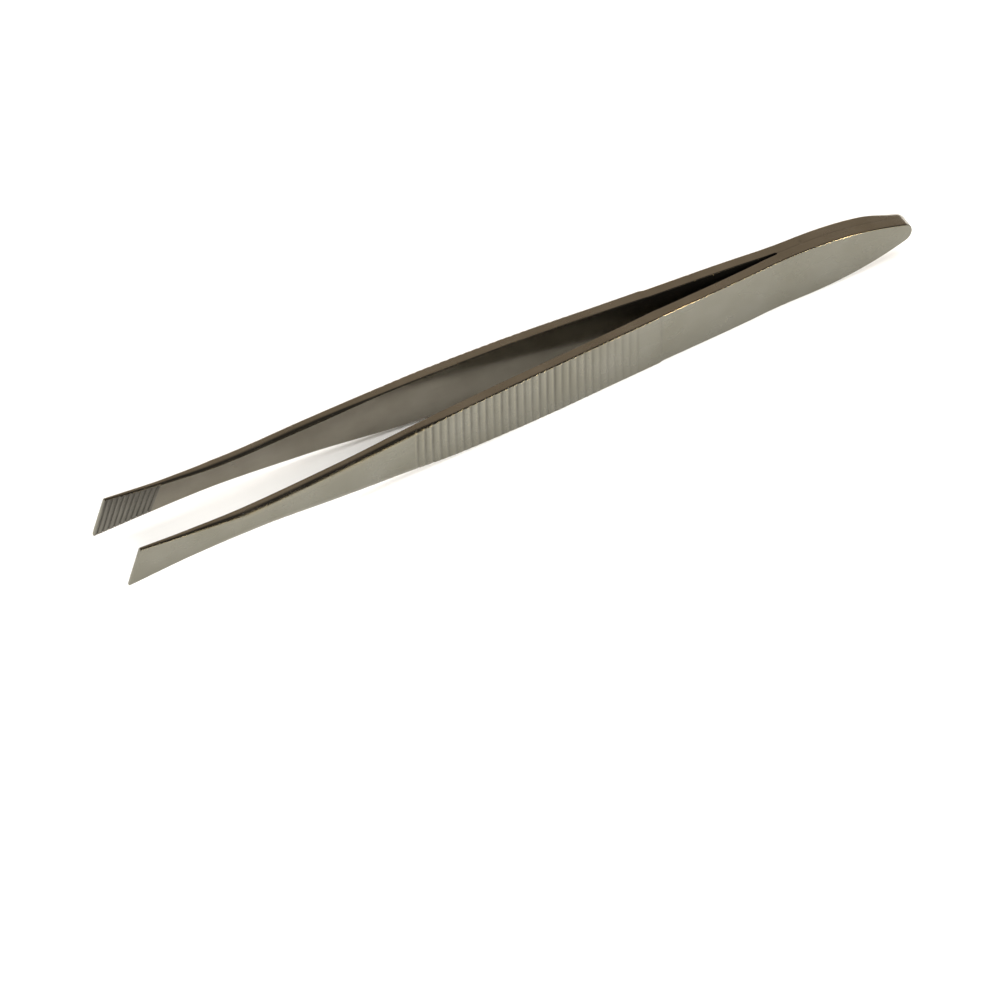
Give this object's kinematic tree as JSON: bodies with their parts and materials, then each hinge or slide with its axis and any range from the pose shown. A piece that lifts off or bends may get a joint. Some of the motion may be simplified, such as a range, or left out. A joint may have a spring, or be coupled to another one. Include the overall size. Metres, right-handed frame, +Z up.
{
  "type": "slant tweezers",
  "caption": "Slant tweezers: two stamped, plated steel leaves welded at a rounded tail, with ribbed grips, narrow waists and obliquely cut tips whose ground pads meet flat.",
  "frame": {"origin": "the middle of the bounding box's underside: the point under the middle of the pair, on the surface that it lies on", "axes": "+X along the length, from the tips at -X to the joined tail at +X; +Y across the opening, from the left leaf to the right leaf; +Z up, across the width of the leaves. The pair lies on its long edges, and the longer corner of each slanted tip is the lower one."},
  "size_m": [0.0888, 0.0084, 0.0064],
  "materials": {
    "left_leaf_plate": "nickel plate, lightly tumbled, satin to bright",
    "right_leaf_plate": "nickel plate, lightly tumbled, satin to bright",
    "fused_steel": "bare fused steel, hidden between the leaves"
  },
  "bodies": {
    "tail": {"left_leaf_tail": "left_leaf_plate", "right_leaf_tail": "right_leaf_plate", "spot_weld_rear": "fused_steel", "spot_weld_front": "fused_steel"},
    "left_arm": {"left_arm": "left_leaf_plate"},
    "right_arm": {"right_arm": "right_leaf_plate"}
  },
  "joints": [
    {"name": "left_squeeze", "type": "hinge", "parent": "tail", "child": "left_arm", "pos_m": [0.02905, -0.0006, 0.0032], "axis": [0, 0, -1], "range_deg": [0, 2.75], "stiffness_Nm_per_rad": 3.5},
    {"name": "right_squeeze", "type": "hinge", "parent": "tail", "child": "right_arm", "pos_m": [0.02905, 0.0006, 0.0032], "axis": [0, 0, 1], "range_deg": [0, 2.75], "stiffness_Nm_per_rad": 3.5}
  ],
  "couplings": [
    {"joint": "right_squeeze", "follows": "left_squeeze", "ratio": 1}
  ]
}
